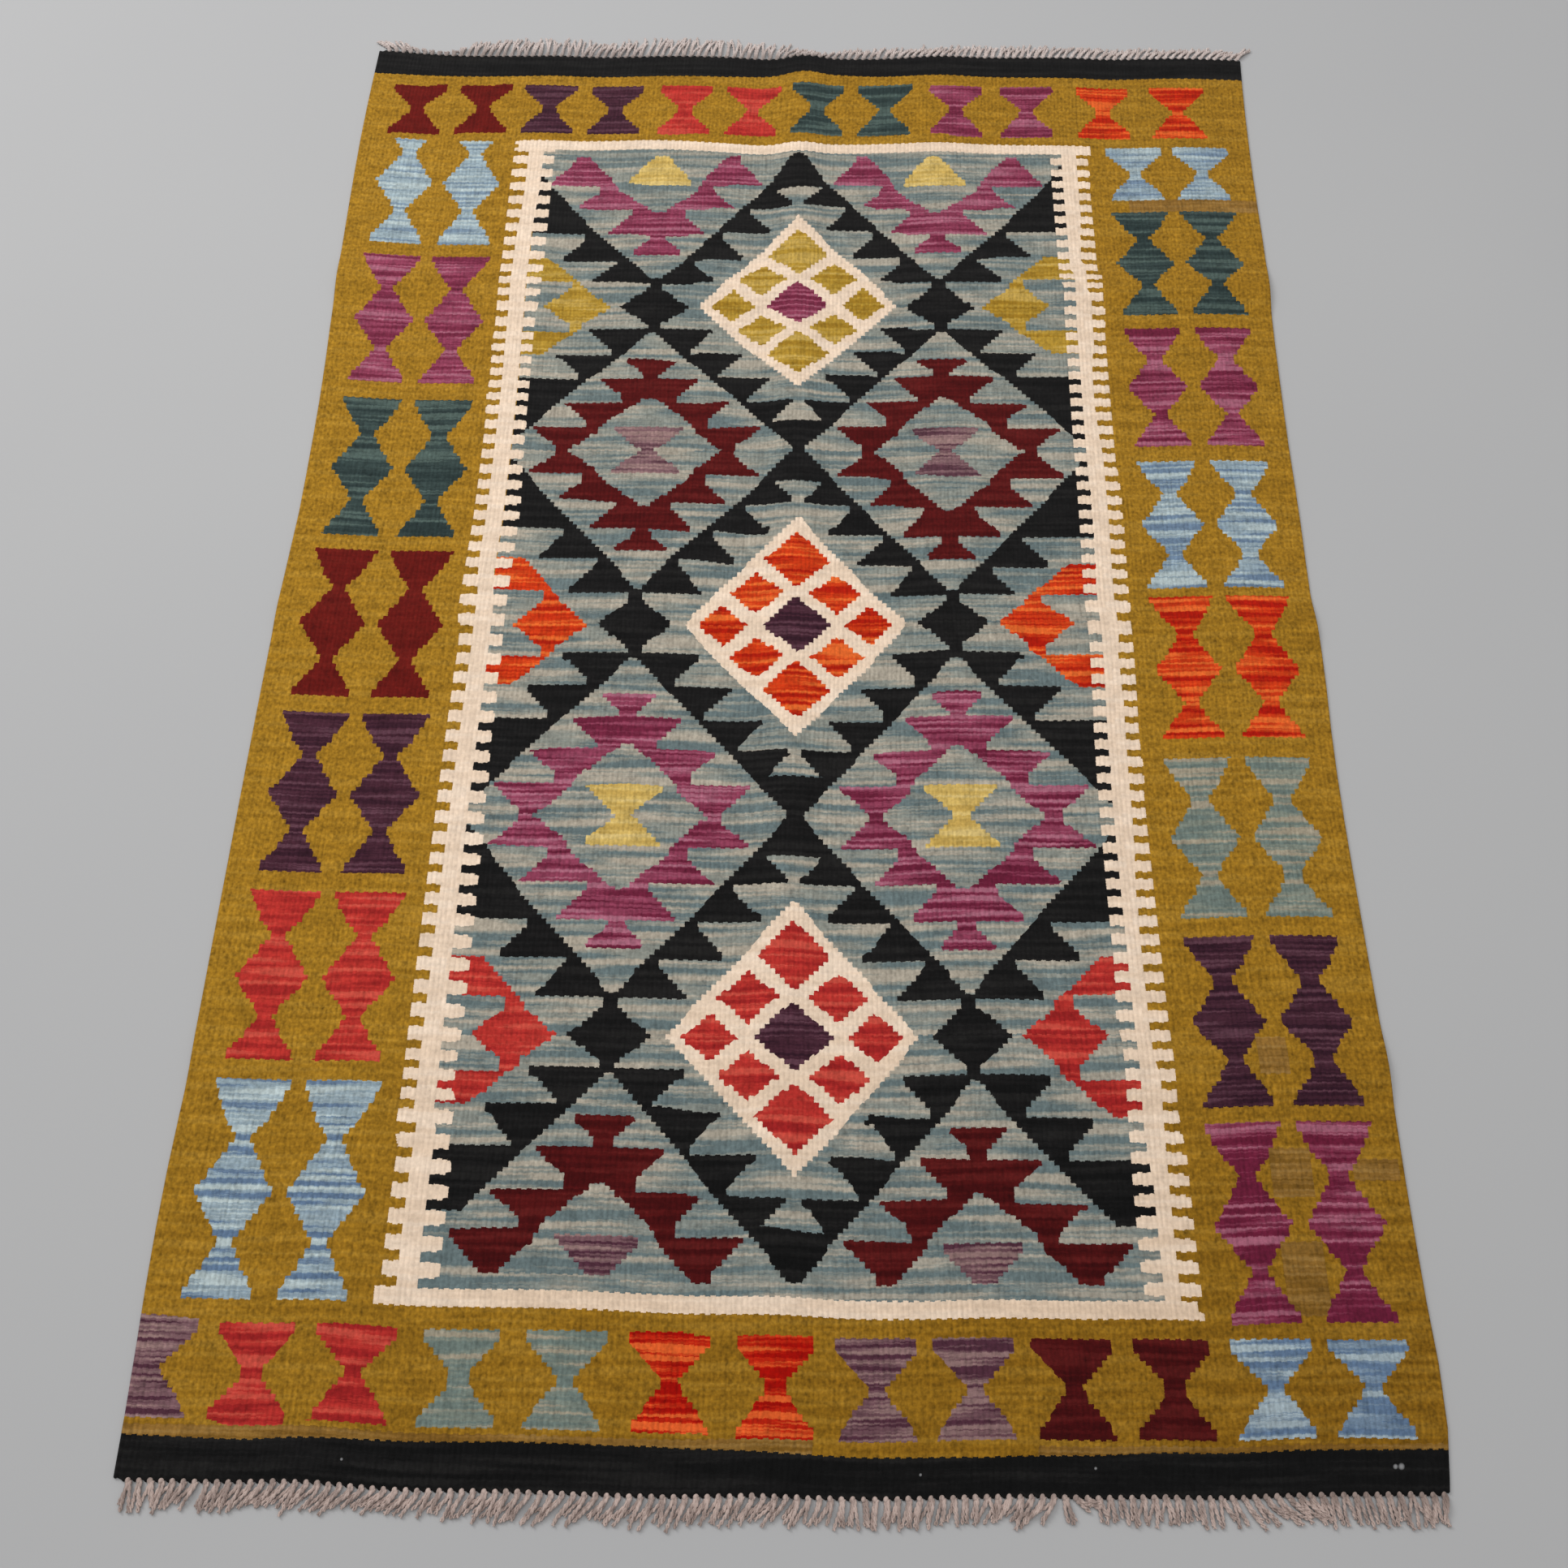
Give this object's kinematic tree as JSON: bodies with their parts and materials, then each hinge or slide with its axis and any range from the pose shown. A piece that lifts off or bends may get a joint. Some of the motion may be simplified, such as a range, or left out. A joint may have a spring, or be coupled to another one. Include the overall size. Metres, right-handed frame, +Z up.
{
  "type": "kilim rug",
  "caption": "Flat-woven kilim rug lying flat: one cloth with low fold creases and a knotted warp fringe at each end.",
  "frame": {"origin": "bottom centre of the box round the whole rug, fringe included, on the floor that it rests on", "axes": "+Z up from the floor; +Y along the rug's length, from the near end to the far end; +X across it to the right"},
  "size_m": [1.0228, 1.573, 0.0073],
  "materials": {
    "wool_weave": "matt weft-faced wool weave in many dyed colours",
    "warp_yarn": "matt twisted yarn, undyed pinkish beige"
  },
  "bodies": {
    "root": {"rug_cloth": "wool_weave", "fringe_near": "warp_yarn", "fringe_far": "warp_yarn"}
  },
  "joints": []
}
